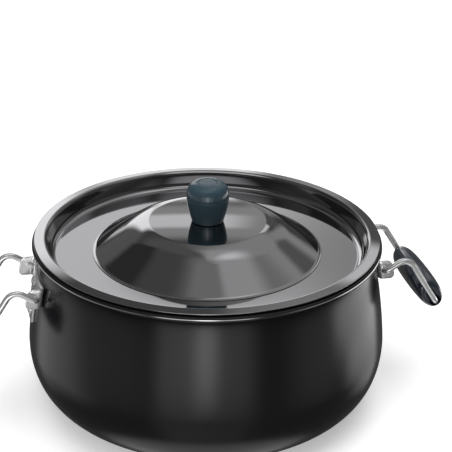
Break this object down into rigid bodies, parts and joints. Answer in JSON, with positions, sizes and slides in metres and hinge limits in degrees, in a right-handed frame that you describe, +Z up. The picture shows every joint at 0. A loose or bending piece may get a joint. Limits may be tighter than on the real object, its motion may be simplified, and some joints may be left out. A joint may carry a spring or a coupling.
{
  "type": "stovetop pressure cooker",
  "caption": "Belly-shaped stovetop cooker with a recessed domed lid, a centre knob and wire bail side handles with moulded grips.",
  "frame": {"origin": "on the pot's axis, on the surface that the base stands on", "axes": "+Z up, along the pot's axis; +X towards the right handle; +Y away from the viewer"},
  "size_m": [0.3926, 0.2932, 0.1889],
  "materials": {
    "pot_shell": "dark satin anodised",
    "lid_metal": "polished, dark tinted",
    "polished_steel": "polished",
    "satin_steel": "satin",
    "navy_plastic": "glossy moulded",
    "black_rubber": "matt",
    "brass_insert": "turned"
  },
  "bodies": {
    "pot": {"pot_body": "pot_shell", "base_plate": "satin_steel", "left_bracket": "polished_steel", "left_rivet_upper": "polished_steel", "left_rivet_lower": "polished_steel", "right_bracket": "polished_steel", "right_rivet_upper": "polished_steel", "right_rivet_lower": "polished_steel"},
    "lid": {"lid_pan": "lid_metal", "lid_dome": "lid_metal", "lid_gasket": "black_rubber", "knob_body": "navy_plastic", "knob_cap": "navy_plastic", "knob_inset": "navy_plastic", "knob_seat_washer": "black_rubber", "knob_insert": "brass_insert", "knob_screw": "satin_steel", "knob_screw_washer": "satin_steel"},
    "left_bail": {"left_bail_wire": "polished_steel", "left_grip_outer": "navy_plastic", "left_grip_inner": "navy_plastic", "left_grip_screw_1": "satin_steel", "left_grip_screw_2": "satin_steel"},
    "right_bail": {"right_bail_wire": "polished_steel", "right_grip_outer": "navy_plastic", "right_grip_inner": "navy_plastic", "right_grip_screw_1": "satin_steel", "right_grip_screw_2": "satin_steel"}
  },
  "joints": [
    {"name": "lid_lift", "type": "slide", "parent": "pot", "child": "lid", "axis": [0, 0, 1], "range_m": [0, 0.08]},
    {"name": "left_bail_swing", "type": "hinge", "parent": "pot", "child": "left_bail", "pos_m": [-0.14244, 0, 0.113], "axis": [0, 1, 0], "range_deg": [0, 80]},
    {"name": "right_bail_swing", "type": "hinge", "parent": "pot", "child": "right_bail", "pos_m": [0.14244, 0, 0.113], "axis": [0, -1, 0], "range_deg": [0, 80]}
  ]
}
